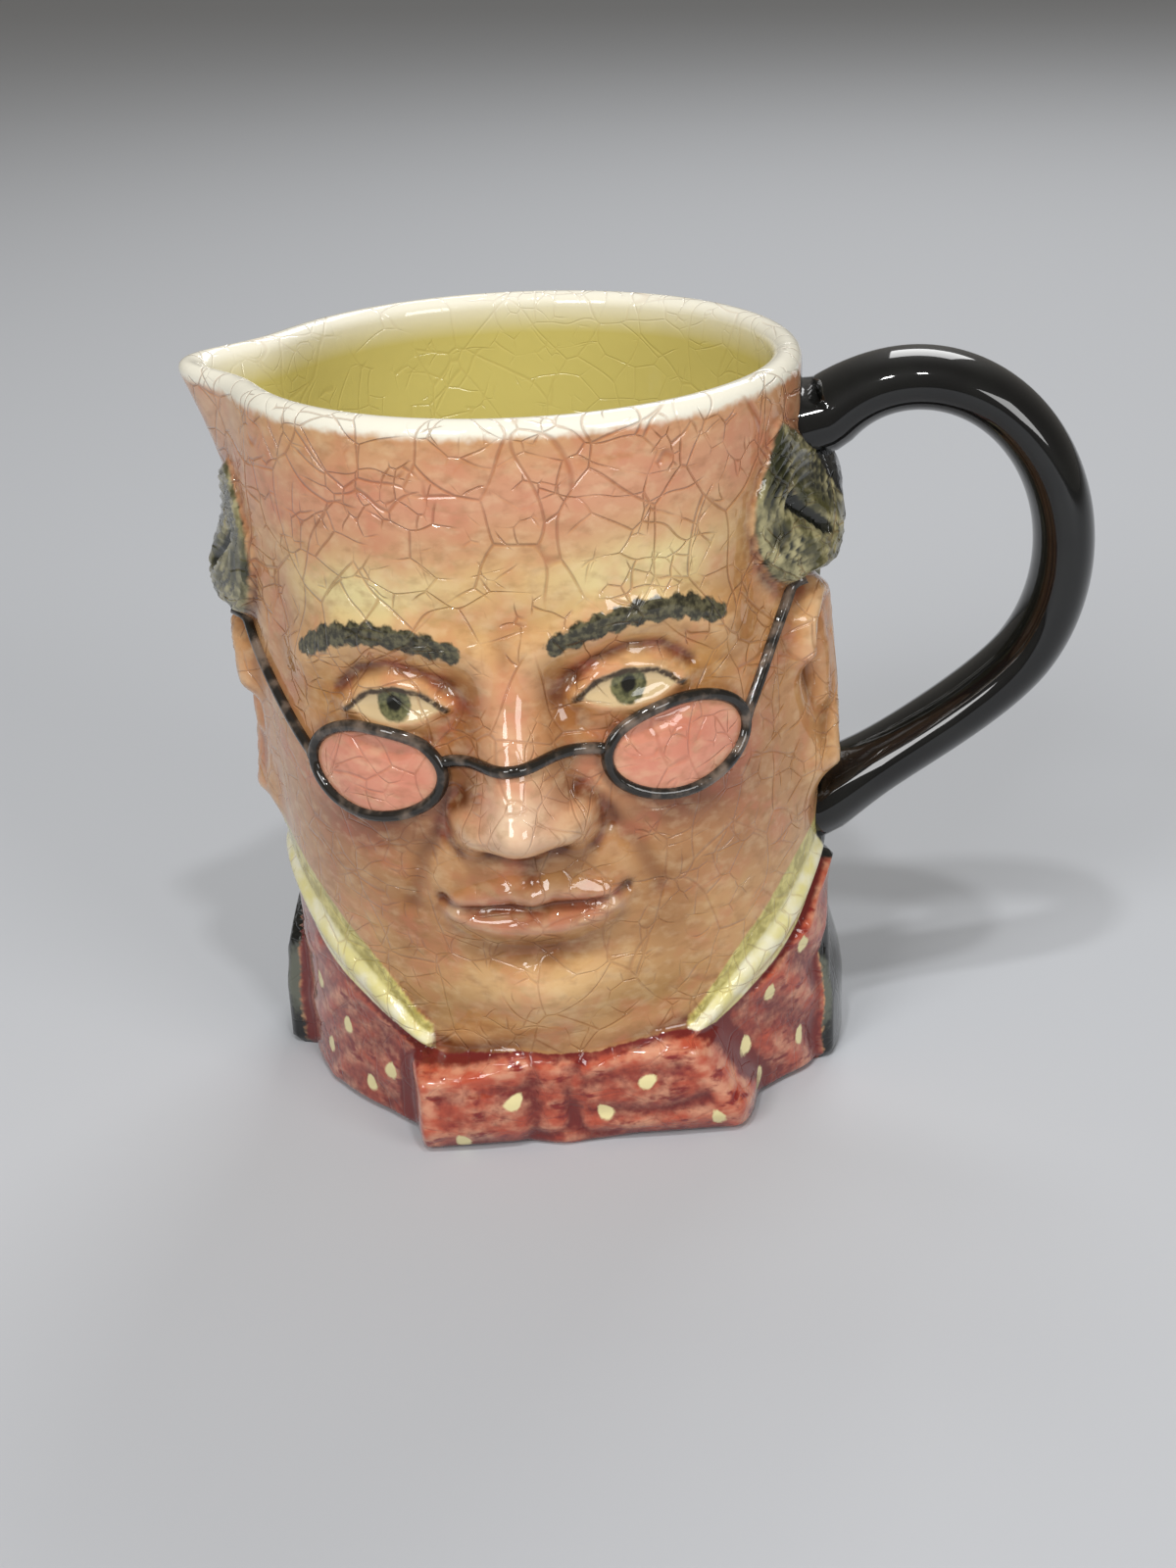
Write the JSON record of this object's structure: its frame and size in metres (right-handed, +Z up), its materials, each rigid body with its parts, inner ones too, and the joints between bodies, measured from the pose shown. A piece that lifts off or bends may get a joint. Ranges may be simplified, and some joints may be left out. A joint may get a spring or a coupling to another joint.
{
  "type": "toby jug",
  "caption": "Small glazed earthenware face jug: hollow head with a rounded rim, side pouring lip, loop handle, spectacles, standing collar and spotted bow.",
  "frame": {"origin": "middle of the flat foot, on the table", "axes": "+Z up out of the jug's mouth, +X towards the handle, -Y the way the face looks; the pouring lip points along -X"},
  "size_m": [0.0994, 0.0709, 0.083],
  "materials": {
    "glazed_earthenware": "glossy"
  },
  "bodies": {
    "root": {"toby_jug": "glazed_earthenware"}
  },
  "joints": []
}
